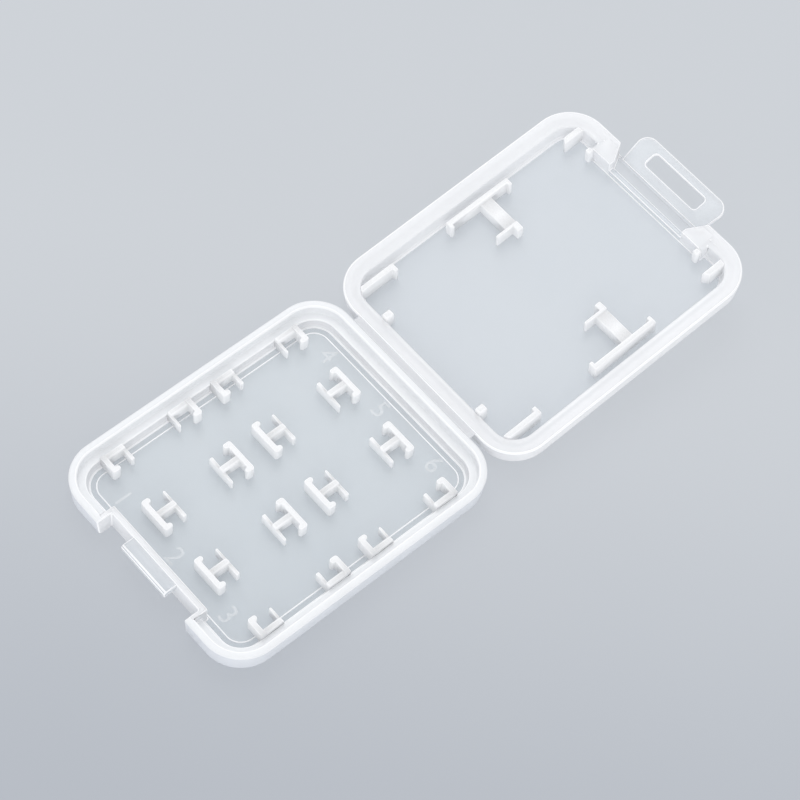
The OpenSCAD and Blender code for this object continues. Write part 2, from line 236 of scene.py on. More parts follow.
# %% [markdown]
# ## Helpers for solid pieces
# Moulded parts are mostly flat shapes pushed straight up, with small round edges where the mould
# was cut. So one helper raises a flat outline into a solid, one joins or cuts solids, and one
# rounds every sharp edge with a bevel, as a real mould does. Small pieces carry two finishes: their
# own in the first slot and that of the rounded edges, a painted highlight, in the second.

# %% Helpers that make solids
# The slot of the painted highlight on small pieces
EDGE_HIGHLIGHT_SLOT, SMOOTH_BELOW = 1, 35


def as_object(bm, name):
    """Turns mesh data into an object, with its faces pointing outwards."""
    bmesh.ops.recalc_face_normals(bm, faces=bm.faces)
    mesh = bpy.data.meshes.new(name)
    bm.to_mesh(mesh)
    bm.free()
    made = bpy.data.objects.new(name, mesh)
    scene.collection.objects.link(made)
    return made


def raised(outline, low, high, name="part", finish=None):
    """A solid with this flat outline between two heights."""
    bm = bmesh.new()
    ends = [[bm.verts.new((x, y, z)) for x, y in outline] for z in (low, high)]
    bm.faces.new(ends[0][::-1])
    bm.faces.new(ends[1])
    for i in range(len(outline)):
        j = (i + 1) % len(outline)
        bm.faces.new((ends[0][i], ends[0][j], ends[1][j], ends[1][i]))
    made = as_object(bm, name)
    made.data.materials.append(finish or wall_pp)
    return made


def bar(half_x, low_y, high_y, middle_x=0.0):
    """The outline of a straight bar."""
    return [(middle_x - half_x, low_y), (middle_x + half_x, low_y),
            (middle_x + half_x, high_y), (middle_x - half_x, high_y)]


def with_modifier(made, kind, **settings):
    """Puts one modifier on an object and keeps its result as the plain mesh."""
    modifier = made.modifiers.new(kind.lower(), kind)
    for name, value in settings.items():
        setattr(modifier, name, value)
    evaluated = made.evaluated_get(bpy.context.evaluated_depsgraph_get())
    mesh = bpy.data.meshes.new_from_object(evaluated)
    made.modifiers.clear()
    old, made.data = made.data, mesh
    bpy.data.meshes.remove(old)
    return made


def combine(first, others, how="UNION"):
    """Joins other solids to the first one, or cuts them out of it."""
    for other in others:
        with_modifier(first, "BOOLEAN", object=other, operation=how, solver="EXACT",
                      material_mode="TRANSFER")
        bpy.data.objects.remove(other)
    return first


def tidy(made, flat=0.5):
    """Merges doubled points and joins the faces that lie in one plane."""
    bm = bmesh.new()
    bm.from_mesh(made.data)
    bmesh.ops.remove_doubles(bm, verts=bm.verts, dist=0.002)
    bmesh.ops.dissolve_limit(bm, angle_limit=math.radians(flat), verts=bm.verts, edges=bm.edges,
                             delimit={"MATERIAL"})
    bm.to_mesh(made.data)
    bm.free()
    return made


def rounded(made, width, steps=3, finish=EDGE_HIGHLIGHT_SLOT, sharper_than=38, clamp=True):
    """Rounds every edge that is sharper than this angle, and gives the round its own finish, by
    default the painted highlight.
    """
    with_modifier(made, "BEVEL", width=width, segments=steps, limit_method="ANGLE",
                  angle_limit=math.radians(sharper_than), harden_normals=True,
                  miter_outer="MITER_ARC", material=finish, use_clamp_overlap=clamp)
    return made


def refinish(made, finish, chosen):
    """Gives another finish to the faces whose middle and direction pass a test."""
    for face in made.data.polygons:
        if chosen(face.center, face.normal):
            face.material_index = finish
    return made


def is_upright(centre, normal):
    """The test for the upright faces of a small piece, which get the painted highlight of its edges.
    """
    return abs(normal.z) < 0.5


def finish_piece(made, name, place, material, body, nodes):
    """Moves a piece to its place in metres, gives it its finish and ties it to the frame."""
    made.name = made.data.name = name
    made.data.transform(TO_METRES @ place)
    if material:
        kept = [face.material_index for face in made.data.polygons]
        # Clip copies keep in a face attribute which faces had the painted highlight
        if "edge" in made.data.attributes:
            made.data.attributes["edge"].data.foreach_get("value", kept)
        made.data.materials.clear()
        for each in material:
            made.data.materials.append(each)
        made.data.polygons.foreach_set("material_index", kept)
    for face in made.data.polygons:
        face.use_smooth = True
    if not made.data.has_custom_normals:
        made.data.set_sharp_from_angle(angle=math.radians(SMOOTH_BELOW))
    if body:
        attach(made, body)
    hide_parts(*nodes)
    print(name, len(made.data.polygons), "faces")
    return made


print("every millimetre becomes", TO_METRES[0][0], "metres")

# %% [markdown]
# ## The two shells
# The base and the lid have the same round-cornered outline. Each is a wall of one section that runs
# right round, closed by a thin floor. The section is written as points from the middle of the floor
# up over the rim and down to the underside. Each point becomes a ring of the outline, drawn in by
# its distance from the edge, and the rings are joined up. That keeps all lines running evenly round
# the corners, which a cut from a block would not.

# %% Make a shell from its section
def ring(inset, z, half_x=CASE_W / 2, half_y=CASE_L / 2, r=CORNER_R):
    """Points of the round-cornered outline, drawn in by a distance."""
    r, corners = max(r - inset, 0.3), [(1, 1, 0), (-1, 1, 90), (-1, -1, 180), (1, -1, 270)]
    points = []
    for sx, sy, start in corners:
        centre = (sx * (half_x - inset - r), sy * (half_y - inset - r))
        for i in range(CORNER_STEPS + 1):
            a = math.radians(start + 90 * i / CORNER_STEPS)
            points.append((centre[0] + r * math.cos(a), centre[1] + r * math.sin(a), z))
    return points


def shell(section, finishes, name):
    """A shell from section points (inset, height, finish of the strip that starts there)."""
    bm = bmesh.new()
    rings = [[bm.verts.new(p) for p in ring(inset, z)] for inset, z, finish in section]
    count = len(rings[0])
    for k in range(len(rings) - 1):
        for i in range(count):
            j = (i + 1) % count
            face = bm.faces.new((rings[k][i], rings[k][j], rings[k + 1][j], rings[k + 1][i]))
            face.material_index = section[k][2]
    for face in (bm.faces.new(rings[0]), bm.faces.new(rings[-1][::-1])):
        face.material_index = FLOOR
    made = as_object(bm, name)
    for finish in finishes:
        made.data.materials.append(finish)
    return made


def arc(inset, z, r, start, end, finish, after, steps=4):
    """Points of a round edge in a section, and the finish of the strip after it."""
    turns = [math.radians(start + (end - start) * i / steps) for i in range(steps + 1)]
    return [(inset + r * math.cos(t), z + r * math.sin(t), after if i == steps else finish)
            for i, t in enumerate(turns)]


def foot(wall, floor_t):
    """The soft curve at the foot of a wall, with a painted highlight where it meets the floor."""
    lowest = arc(wall + FOOT_R, floor_t + FOOT_R, FOOT_R, 270, 240, EDGE_HIGHLIGHT, WALL, 2)
    return lowest + arc(wall + FOOT_R, floor_t + FOOT_R, FOOT_R, 230, 180, WALL, WALL, 4)


# The finishes of a shell, in the order of its material slots: the edge finish is a painted highlight,
# the inner one a painted light and the outer one a painted shade
FLOOR, WALL, EDGE_HIGHLIGHT, SHELF, INNER_LIT, OUTER_SHADED = range(6)
print("each ring of a shell has", 4 * (CORNER_STEPS + 1), "points")

# %% [markdown]
# ### Base tray
# A thin floor, a short lower wall, a ledge, an upper wall and a rim. The inner corner at the foot
# is a soft curve. Underneath, the floor is set up a little inside a round-cornered line, and that
# line shows through the clear floor. The latch side has a recess with a wall set back in it.

# %% Build the base tray
PANEL_IN, PANEL_UP, LINE_H = 5.35, 0.08, 0.055
rim_r, ledge_r, ledge_foot_r = 0.4, 0.25, 0.4
base_wall = RIM_W + LEDGE_W
ledge_top = FLOOR_T + LEDGE_H
base_section = [(6.5, FLOOR_T, FLOOR)]
# A fine raised line with slanted sides runs round the floor above the one underneath, in the painted
# highlight of the edges
base_section += [(PANEL_IN + step, FLOOR_T + up, EDGE_HIGHLIGHT)
                 for step, up in ((0.28, 0), (0.18, LINE_H), (0.10, LINE_H))]
base_section += [(PANEL_IN, FLOOR_T, FLOOR)] + foot(base_wall, FLOOR_T)
# The inner walls above the ledge and the rim get the painted light, the outer wall the painted shade
base_section += arc(base_wall - ledge_r, ledge_top - ledge_r, ledge_r, 0, 90, EDGE_HIGHLIGHT, INNER_LIT)
base_section += arc(RIM_W + ledge_foot_r, ledge_top + ledge_foot_r, ledge_foot_r,
                    270, 180, INNER_LIT, INNER_LIT)
base_section += arc(RIM_W - rim_r, BASE_H - rim_r, rim_r, 0, 90, EDGE_HIGHLIGHT, INNER_LIT)
base_section += arc(rim_r, BASE_H - rim_r, rim_r, 90, 180, INNER_LIT, OUTER_SHADED)
base_section += arc(DRAFT + EDGE_R, EDGE_R, EDGE_R, 180, 270, OUTER_SHADED, WALL, 6)
base_section += [(base_wall, 0, FLOOR), (PANEL_IN, 0, FLOOR), (PANEL_IN + 0.3, PANEL_UP, FLOOR)]

NOTCH_W, NOTCH_END_T, NOTCH_DEPTH, NOTCH_WALL_T = 27.1, 1.05, 3.5, 1.5
base_shell = shell(base_section, (base_floor_pp, wall_pp, edge_highlight_pp, shelf_pp, inner_lit_pp, outer_shaded_pp),
                   "base_shell")
end_half = NOTCH_W / 2 + NOTCH_END_T
set_back = raised(bar(end_half, -CASE_L / 2 + RIM_W / 2, -CASE_L / 2 + NOTCH_DEPTH + NOTCH_WALL_T),
                  FLOOR_T / 2, BASE_H)
notch = raised(bar(NOTCH_W / 2, -CASE_L / 2 - 1, -CASE_L / 2 + NOTCH_DEPTH), -1, BASE_H + 1)
combine(base_shell, [set_back])
combine(base_shell, [notch], "DIFFERENCE")
# The rounds of the tray get the painted highlight
rounded(base_shell, 0.25, 3, EDGE_HIGHLIGHT, sharper_than=50, clamp=False)
finish_piece(base_shell, "base_shell", Matrix(), None, "base", ["base_tray"])

# %% [markdown]
# ### Catch lug
# A small ledge that stands out of the set-back wall. The slot of the flap drops over it. Its outer
# top edge is slanted, so that the flap slides over it, and its corners are rounded.

# %% Build the catch lug
LUG_W, LUG_REACH, LUG_T, LUG_DROP, LUG_BITE = 13.5, 3.0, 1.7, 0.1, 0.3
slant = LUG_T / 4
lug_root = NOTCH_DEPTH - CASE_L / 2 + LUG_BITE
lug_top = BASE_H - LUG_DROP
reach = LUG_REACH + LUG_BITE
lug = raised([(0, 0), (slant - reach, 0), (-reach, -slant), (-reach, -LUG_T), (0, -LUG_T)],
             -LUG_W / 2, LUG_W / 2)
lug.data.transform(Matrix.Translation((0, lug_root, lug_top))
                   @ Matrix(((0, 0, 1, 0), (1, 0, 0, 0), (0, 1, 0, 0), (0, 0, 0, 1))))
lug.data.materials.append(edge_highlight_pp)
# The rounds of the lug get the painted highlight
rounded(lug, 0.2)
finish_piece(lug, "catch_lug_piece", Matrix(), (lug_pp, edge_highlight_pp), "base", ["catch_lug"])

# %% [markdown]
# ### Lid shell
# The wall of the lid is wider and solid, and its rim slopes down to the inner edge in a soft dish.
# Its floor is thinner and clearer. The recess for the latch widens outwards, and the floor runs on
# into it as a shelf that carries the flap. Behind the shelf stands a low wall between two blocks.

# %% Build the lid shell
low_rim, dish_w, dish_steps = LID_H - LIP_STEP, 1.9, 9
lid_section = [(6.0, LID_FLOOR_T, FLOOR), (LID_WALL + FOOT_R + 0.5, LID_FLOOR_T, FLOOR)]
lid_section += foot(LID_WALL, LID_FLOOR_T)
lid_section += arc(LID_WALL - rim_r, low_rim - rim_r, rim_r, 0, 90, WALL, WALL, 5)
for i in range(1, dish_steps + 1):
    t = i / dish_steps
    rise = LIP_STEP * t * t * (3 - 2 * t)
    lid_section.append((LID_WALL - rim_r - dish_w * t, low_rim + rise, WALL))
lid_section += arc(rim_r, LID_H - rim_r, rim_r, 90, 180, EDGE_HIGHLIGHT, WALL)
lid_section += arc(DRAFT + EDGE_R, EDGE_R, EDGE_R, 180, 270, WALL, WALL, 6)
lid_section += [(LID_WALL, 0, FLOOR), (6.0, 0, FLOOR)]
lid_shell = shell(lid_section, (lid_floor_pp, wall_pp, edge_highlight_pp, shelf_pp), "lid_shell_piece")

BAY_W, BAY_IN_W, BAY_HALF, BACK_WALL_H = 27.2, 22.0, 17.0, 1.6
wall_in, wall_out = BAY_WALL_IN - LID_MID, LID_END - BAY_DEPTH - LID_MID
back = BAY_IN_W / 2
back_wall = raised(bar(back, wall_in, wall_out + 0.5), LID_FLOOR_T / 2,
                   LID_FLOOR_T + BACK_WALL_H, "back_wall", lid_floor_pp)
masses = []
for side in (-1, 1):
    profile = [(back, LID_FLOOR_T / 2), (BAY_HALF, LID_FLOOR_T / 2), (BAY_HALF, LID_H - 1),
               (BAY_HALF - 1, LID_H), (back, LID_H)]
    mass = raised([(side * x, z) for x, z in profile], LIP_W / 2 - CASE_L / 2, -wall_in)
    mass.data.transform(Matrix.Rotation(math.radians(90), 4, "X"))
    masses.append(mass)
flare = (BAY_W - BAY_IN_W) / 2 * (BAY_DEPTH + 1) / BAY_DEPTH
bay = raised([(-back, wall_out), (back, wall_out), (back + flare, CASE_L / 2 + 1),
              (-back - flare, CASE_L / 2 + 1)], LID_FLOOR_T, LID_H + 1)
FOLD_HALF, FOLD_CLEAR = 12.4, 0.3
fold_cut = raised(bar(FOLD_HALF, FOLD_S - FOLD_CLEAR - LID_MID, CASE_L / 2 + 1.2),
                  -1, LID_FLOOR_T + 1, "fold_cut", shelf_pp)
combine(lid_shell, [back_wall] + masses)
combine(lid_shell, [bay], "DIFFERENCE")
near = 0.01
refinish(lid_shell, FLOOR, lambda c, n: abs(c.x) < back and abs(c.y - wall_out) < near
         and abs(n.y) > 0.9)
refinish(lid_shell, SHELF, lambda c, n: c.y > wall_out + near and abs(c.z - LID_FLOOR_T) < near
         and n.z > 0.9)
refinish(lid_shell, SHELF, lambda c, n: c.y > wall_out and abs(c.x) < 10 and n.z < -0.9)
# The rounds of the lid get the painted highlight
rounded(lid_shell, 0.2, 3, EDGE_HIGHLIGHT, sharper_than=50, clamp=False)
combine(lid_shell, [fold_cut], "DIFFERENCE")
finish_piece(lid_shell, "lid_shell_piece", IN_LID @ Matrix.Translation((0, LID_MID, -LID_H)), None,
             "lid", ["lid_shell"])

# %% [markdown]
# ## Clips for the small cards
# Each clip is a low H: a thin springy flange on the side of the card, a stem, and a thick flange
# with curled ends that backs it. Eight stand free in two columns, and eight more are cut in half by
# the side walls. One clip is modelled with care, and Geometry Nodes put copies of it where the
# pattern says, so that a change to the clip shows in all of them.

# %% Model one clip
SLOT_PITCH, SLOT_W, ROW_Y, CLIP_DEPTH = 16.5, 11.25, 14.025, 5.7
STEM_T, STEM_H, THIN_T, THIN_HALF, THIN_H = 1.15, 2.9, 0.45, 3.6, 2.4
THICK_T, THICK_HALF, THICK_H, CURL = 1.2, 4.1, 3.2, 0.8
STEM_GROW, THIN_GROW = 0.2, 0.07
# Pieces start this far above the floor, so that no two faces lie in one plane
SIT = 0.01


def round_end(cx, cy, r, start, end, steps=8):
    """Points of a round end of an outline."""
    return [(cx + r * math.cos(math.radians(start + (end - start) * i / steps)),
             cy + r * math.sin(math.radians(start + (end - start) * i / steps)))
            for i in range(steps + 1)]


def clip_part(outline, high, soft, steps):
    """One bar of a clip, with its round edges and upright faces in the painted highlight."""
    part = raised(outline, SIT, high, "clip", clip_pp)
    part.data.materials.append(edge_highlight_pp)
    return refinish(rounded(part, soft, steps), EDGE_HIGHLIGHT_SLOT, is_upright)


def thick_flange():
    """A thick bar along X whose round ends curl towards +Y."""
    r, rear = THICK_T / 2, -CLIP_DEPTH
    tip = THICK_HALF - r
    outline = round_end(-tip, rear + r, r, 180, 270) + round_end(tip, rear + r, r, 270, 360)
    outline += round_end(tip, rear + r + CURL, r, 0, 180)
    outline += [(tip - r, rear + THICK_T), (r - tip, rear + THICK_T)]
    outline += round_end(-tip, rear + r + CURL, r, 0, 180)
    return clip_part(outline, THICK_H, 0.32, 4)


def thin_flange():
    """A thin bar along X, with a small hook at one end."""
    r = THIN_T / 2 + THIN_GROW
    front = -r
    tip = THIN_HALF - r
    outline = round_end(-tip, front, r, 90, 270) + round_end(tip, front - 0.3, r, 270, 360)
    outline += round_end(tip, front, r, 0, 90)
    return clip_part(outline, THIN_H, 0.15, 3)


def clip(side=0):
    """The whole clip, or the half of it on one side."""
    stem = clip_part(bar(STEM_T / 2 + STEM_GROW, THICK_T / 2 - CLIP_DEPTH, -0.03),
                     STEM_H, 0.42, 4)
    combine(stem, [thick_flange(), thin_flange()])
    if side:
        # The wall swallows the rest of a half clip a little beyond its own face
        depth = 1.5 * SLOT_PITCH - (CASE_W / 2 - base_wall) + 0.02
        gone = raised(bar(6, -10, 5, -side * (6 - depth)), -1, 6)
        combine(stem, [gone], "DIFFERENCE")
    # The copies all get one material, so a number on each face keeps which finish it had: 1 marks the
    # painted highlight
    marks = stem.data.attributes.new("edge", "INT", "FACE")
    slots = list(stem.data.materials)
    marks.data.foreach_set("value", [int(slots[face.material_index] == edge_highlight_pp)
                                     for face in stem.data.polygons])
    return stem


whole_clip = clip()
print("one clip has", len(whole_clip.data.polygons), "faces")

# %% [markdown]
# ### Put the clips in their rows
# A row of points carries the place and the turn of each clip. The tree reads the turn from the
# points, puts one clip on each of them, and makes the copies real, because an export drops copies
# that only point at a mesh.

# %% Build the tree that sets out the clips
def setting_out_tree(material):
    """The node tree that puts one clip on each point and makes the copies real."""
    tree = bpy.data.node_groups.new("set_out_clips", "GeometryNodeTree")
    face = tree.interface
    face.new_socket("Geometry", in_out="INPUT", socket_type="NodeSocketGeometry")
    face.new_socket("Clip", in_out="INPUT", socket_type="NodeSocketObject")
    face.new_socket("Size", in_out="INPUT", socket_type="NodeSocketFloat")
    face.new_socket("Geometry", in_out="OUTPUT", socket_type="NodeSocketGeometry")
    start = add_node(tree, "NodeGroupInput")
    piece = add_node(tree, "GeometryNodeObjectInfo", {"Object": start.outputs["Clip"]})
    turn = add_node(tree, "GeometryNodeInputNamedAttribute", {"Name": "turn"}, data_type="FLOAT")
    turn_out = [s for s in turn.outputs if s.name == "Attribute" and s.enabled][0]
    spin = add_node(tree, "ShaderNodeCombineXYZ", {"Z": turn_out})
    copies = add_node(tree, "GeometryNodeInstanceOnPoints",
                      {"Points": start.outputs["Geometry"], "Instance": piece.outputs["Geometry"],
                       "Rotation": spin.outputs["Vector"], "Scale": start.outputs["Size"]})
    real = add_node(tree, "GeometryNodeRealizeInstances", {"Geometry": copies.outputs["Instances"]})
    done = add_node(tree, "GeometryNodeSetMaterial", {"Geometry": real.outputs["Geometry"],
                                                      "Material": material})
    add_node(tree, "NodeGroupOutput", {"Geometry": done.outputs["Geometry"]})
    return tree


def set_out(one, places, tree, name):
    """Copies of one clip at (x, y, z, turn in degrees), as one plain mesh."""
    points = bpy.data.meshes.new(name)
    points.from_pydata([p[:3] for p in places], [], [])
    turns = points.attributes.new("turn", "FLOAT", "POINT")
    turns.data.foreach_set("value", [math.radians(p[3]) for p in places])
    holder = bpy.data.objects.new(name, points)
    scene.collection.objects.link(holder)
    modifier = holder.modifiers.new("set_out", "NODES")
    modifier.node_group = tree
    keys = {s.name: s.identifier for s in tree.interface.items_tree
            if s.item_type == "SOCKET" and s.in_out == "INPUT"}
    modifier[keys["Clip"]] = one
    modifier[keys["Size"]] = 1.0
    evaluated = holder.evaluated_get(bpy.context.evaluated_depsgraph_get())
    mesh = bpy.data.meshes.new_from_object(evaluated)
    holder.modifiers.clear()
    holder.data = mesh
    bpy.data.meshes.remove(points)
    bpy.data.objects.remove(one)
    return holder


setting_out = setting_out_tree(clip_pp)


def row_places(x):
    """The four clips of a column: every second one is turned round."""
    return [(x, row + side * SLOT_W / 2, FLOOR_T, 180 if side > 0 else 0)
            for row in (-ROW_Y, ROW_Y) for side in (-1, 1)]


free_clips = set_out(whole_clip, row_places(-SLOT_PITCH / 2) + row_places(SLOT_PITCH / 2),
                     setting_out, "small_card_clips")
finish_piece(free_clips, "small_card_clips", Matrix(), (clip_pp, edge_highlight_pp), "base",
             [f"h_clip_{i}" for i in range(1, 9)])

# %% Put the half clips on the side walls
wall_x = 1.5 * SLOT_PITCH
halves = []
for side in (-1, 1):
    for turn in (0, 180):
        # A clip that is turned round keeps its other half
        kept = side * (1 if turn else -1)
        places = [p for p in row_places(side * wall_x) if p[3] == turn]
        halves.append(set_out(clip(kept), places, setting_out, f"half_clips_{side}_{turn}"))
bm = bmesh.new()
for half in halves:
    bm.from_mesh(half.data)
    bpy.data.objects.remove(half)
side_clips = as_object(bm, "side_card_clips")
finish_piece(side_clips, "side_card_clips", Matrix(), (clip_pp, edge_highlight_pp), "base",
             [f"side_clip_{i}" for i in range(1, 9)])

# %% [markdown]
# ## Clips and fins for the large cards
# Two T-shaped clips stand on the lid floor. Each has a long bar with ends that turn in, a broad
# stem and a short flange with a pad. Fins stand in the corners, with two small hooks and two nubs.
# The clips are raised from flat outlines, as the mould does it, then joined and rounded; the fins,
# hooks and nubs are copies of the imported parts, most of them made thicker, then rounded.

# %% Build the T-shaped clips
BAR_X, BAR_T, BAR_FROM, BAR_LEN, BAR_H, BAR_LIP = 21.9, 1.3, 29.0, 17.2, 3.9, 0.8
TEE_FROM, TEE_T, TEE_H, TEE_REACH = 37.8, 3.1, 3.0, 8.6
FOOT_T, FOOT_LEN, FOOT_H, PAD = 0.7, 2.8, 3.5, 1.6


def box_outline(x0, y0, dx, dy, side):
    """A rectangle on one side of the lid."""
    pts = [(x0, y0), (x0 + dx, y0), (x0 + dx, y0 + dy), (x0, y0 + dy)]
    return pts if side > 0 else [(-x, y) for x, y in pts][::-1]


def tee_clip(side):
    """One T-shaped clip: each block is a corner, two sides, a height and the width of its round."""
    lip = BAR_T * 0.75
    foot_x = BAR_X - TEE_REACH
    blocks = [(BAR_X, BAR_FROM, BAR_T, BAR_LEN, BAR_H, 0.3),
              (BAR_X - BAR_LIP, BAR_FROM, BAR_LIP + 0.8, lip, BAR_H, 0.3),
              (BAR_X - BAR_LIP, BAR_FROM + BAR_LEN - lip, BAR_LIP + 0.8, lip, BAR_H, 0.3),
              (foot_x + 0.1, TEE_FROM, TEE_REACH + 0.6, TEE_T, TEE_H, 0.3),
              (foot_x, TEE_FROM - FOOT_LEN, FOOT_T, FOOT_LEN + TEE_T, FOOT_H, 0.2),
              (foot_x - PAD, TEE_FROM + TEE_T / 2, PAD + 0.4, TEE_T / 2, FOOT_H, 0.3)]
    parts = [clip_part(box_outline(x, y, dx, dy, side), high, soft, 3)
             for x, y, dx, dy, high, soft in blocks]
    return combine(parts[0], parts[1:])


ON_LID_FLOOR = IN_LID @ Matrix.Translation((0, 0, -LID_DEPTH))
for side, word in ((-1, "left"), (1, "right")):
    finish_piece(tee_clip(side), f"tee_piece_{word}", ON_LID_FLOOR, (clip_pp, edge_highlight_pp), "lid",
                 [f"tee_clip_{word}"])

# %% Build the fins, hooks and nubs
def from_cad(node, place):
    """A merged copy of a CAD node in millimetres, in the plane of the part that carries it."""
    made = bpy.data.objects.new("copy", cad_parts[node].data.copy())
    scene.collection.objects.link(made)
    made.data.transform(place.inverted() @ Matrix.Scale(1000, 4))
    made.data.transform(Matrix.Translation((0, 0, SIT)))
    return tidy(made)


def thickened(made, grow):
    """Moves the upright faces of a small piece outwards, across its thickness."""
    middle = sum(v.co.x for v in made.data.vertices) / len(made.data.vertices)
    for v in made.data.vertices:
        v.co.x += grow if v.co.x > middle else -grow
    return made


GROW_AND_ROUND = {"near_fin": (0, 0.3), "far_fin": (0.2, 0.35), "hook": (0.25, 0.45),
                  "nub": (0.45, 0.6)}
for kind, (grow, width) in GROW_AND_ROUND.items():
    for word in ("left", "right"):
        piece = from_cad(f"{kind}_{word}", ON_LID_FLOOR)
        piece.data.materials.clear()
        for finish in (clip_pp, edge_highlight_pp):
            piece.data.materials.append(finish)
        # The rounds and upright faces get the painted highlight
        rounded(thickened(piece, grow) if grow else piece, width, 4)
        refinish(piece, EDGE_HIGHLIGHT_SLOT, is_upright)
        finish_piece(piece, f"{kind}_piece_{word}", ON_LID_FLOOR, (clip_pp, edge_highlight_pp), "lid",
                     [f"{kind}_{word}"])

# %% [markdown]
# ## Latch flap
# A thin plate with round outer corners and a slot with round corners. Its edges, and those of the
# slot, are rounded and catch the light, and they and the upright faces carry a painted highlight.

# %% Build the flap
FLAP_LEN, FLAP_T, FLAP_ROOT, FLAP_W, FLAP_R = 8.6, 0.9, 23.9 / 2, 25.3 / 2, 2.8
SLOT_LEN, SLOT_FROM, SLOT_OPEN, SLOT_R = 15.4, 2.9, 3.6, 0.9


def flap_outline():
    """The flap from its straight root to its two round outer corners."""
    out = [(-FLAP_ROOT, FOLD_CLEAR), (FLAP_ROOT, FOLD_CLEAR)]
    out += round_end(FLAP_W - FLAP_R, FLAP_LEN - FLAP_R, FLAP_R, 0, 90, 10)
    out += round_end(FLAP_R - FLAP_W, FLAP_LEN - FLAP_R, FLAP_R, 90, 180, 10)
    return out


def slot_outline():
    """The slot, with four round corners."""
    x, y, mid = SLOT_LEN / 2 - SLOT_R, SLOT_OPEN / 2 - SLOT_R, SLOT_FROM + SLOT_OPEN / 2
    out = []
    for sx, sy, start in ((1, 1, 0), (-1, 1, 90), (-1, -1, 180), (1, -1, 270)):
        out += round_end(sx * x, mid + sy * y, SLOT_R, start, start + 90, 6)
    return out


flap = raised(flap_outline(), -FLAP_T, 0, "flap")
combine(flap, [raised(slot_outline(), -2, 2)], "DIFFERENCE")
flap.data.materials.append(edge_highlight_pp)
rounded(tidy(flap), 0.3)
# The upright faces of the flap get the painted highlight too
refinish(flap, EDGE_HIGHLIGHT_SLOT, is_upright)
finish_piece(flap, "latch_flap_piece", IN_FLAP, (flap_pp, edge_highlight_pp), "flap", ["latch_flap"])

# %% [markdown]
# ## The two living hinges
# A living hinge is a strip so thin that it bends for years. The wide one joins the rims of the two
# halves, the narrow one carries the flap. Each is a sheet with many rows across, drawn as a smooth
# bend between the parts that it is moulded to, as they lie here.

# %% Build the films
FILM_T, FILM_W, FILM_DIP = 0.3, 36.0, 0.06


def film(half, low, high, name, rows=14):
    """A strip between two edges, each given as its lower and upper (y, z) point."""
    bm = bmesh.new()
    lines = []
    for i in range(rows + 1):
        t = i / rows
        dip = FILM_DIP * math.sin(math.pi * t)
        lines.append([(a[0] + (b[0] - a[0]) * t, a[1] + (b[1] - a[1]) * t + sign * dip)
                      for a, b, sign in ((low[0], high[0], 1), (low[1], high[1], -1))])
    under, over = [p[0] for p in lines], [p[1] for p in lines]
    loop = under + over[::-1]
    ends = [[bm.verts.new((x, y, z)) for y, z in loop] for x in (-half, half)]
    n = len(loop)
    for k in range(rows):
        for e in (0, 1):
            bm.faces.new((ends[e][k], ends[e][k + 1], ends[e][n - 2 - k], ends[e][n - 1 - k]))
    for i in range(n):
        j = (i + 1) % n
        bm.faces.new((ends[0][i], ends[0][j], ends[1][j], ends[1][i]))
    return as_object(bm, name)


def at(place, y, z):
    """Where a point of a turned part lies, as (y, z)."""
    point = place @ Vector((0, y, z))
    return (point.y, point.z)


# The wide film reaches this far into each rim, just under its top
bite = 0.2
rim_low, rim_high = (CASE_L / 2 - bite, BASE_H - FILM_T), (CASE_L / 2 - bite, BASE_H - 0.01)
lid_low, lid_high = [at(IN_LID, HINGE_GAP / 2 + bite, -down) for down in (FILM_T, 0.01)]
hinge = film(FILM_W / 2, (rim_low, rim_high), (lid_low, lid_high), "hinge_film_piece")
finish_piece(hinge, "hinge_film_piece", Matrix(), (film_pp,), None, ["hinge_film"])
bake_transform(hinge)

# The narrow film stops this far short of the shelf and of the flap
apart = 0.03
shelf = [at(IN_LID, FOLD_S - FOLD_CLEAR + apart, -LID_DEPTH - h) for h in (FILM_T + 0.1, 0.02)]
root = [at(IN_FLAP, FOLD_CLEAR - apart, -h) for h in (FILM_T + 0.1, 0.02)]
fold = film(FLAP_ROOT - 0.5, shelf, root, "latch_film_piece", 10)
finish_piece(fold, "latch_film_piece", Matrix(), (shelf_pp,), None, ["latch_film"])
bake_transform(fold)

# %% [markdown]
# ## Numbers of the card places
# Each place for a small card has a plain raised number on the floor. They are a tenth of a
# millimetre high and show only as faint lines. They are drawn as text, made into meshes and set on
# the floor.

# %% Build the raised numbers
NUMBER_SIZE, NUMBER_HALF_H, NUMBER_UP = 6.0, 0.05, 0.06


def raised_number(text, x, y):
    """One number as a mesh, set on the base floor."""
    data = bpy.data.curves.new("number", "FONT")
    data.body, data.size, data.extrude = text, NUMBER_SIZE, NUMBER_HALF_H
    data.align_x, data.align_y = "CENTER", "CENTER"
    data.resolution_u = 3
    holder = bpy.data.objects.new("number", data)
    scene.collection.objects.link(holder)
    mesh = bpy.data.meshes.new_from_object(
        holder.evaluated_get(bpy.context.evaluated_depsgraph_get()))
    bpy.data.objects.remove(holder)
    mesh.transform(Matrix.Translation((x, y, FLOOR_T + NUMBER_UP)))
    return mesh


bm = bmesh.new()
for first, y in ((1, -26.6), (4, 26.8)):
    for column in range(3):
        bm.from_mesh(raised_number(str(first + column), SLOT_PITCH * (column - 1), y))
bmesh.ops.remove_doubles(bm, verts=bm.verts, dist=0.001)
numbers = as_object(bm, "place_numbers")
finish_piece(numbers, "place_numbers", Matrix(), (number_pp,), "base", [])

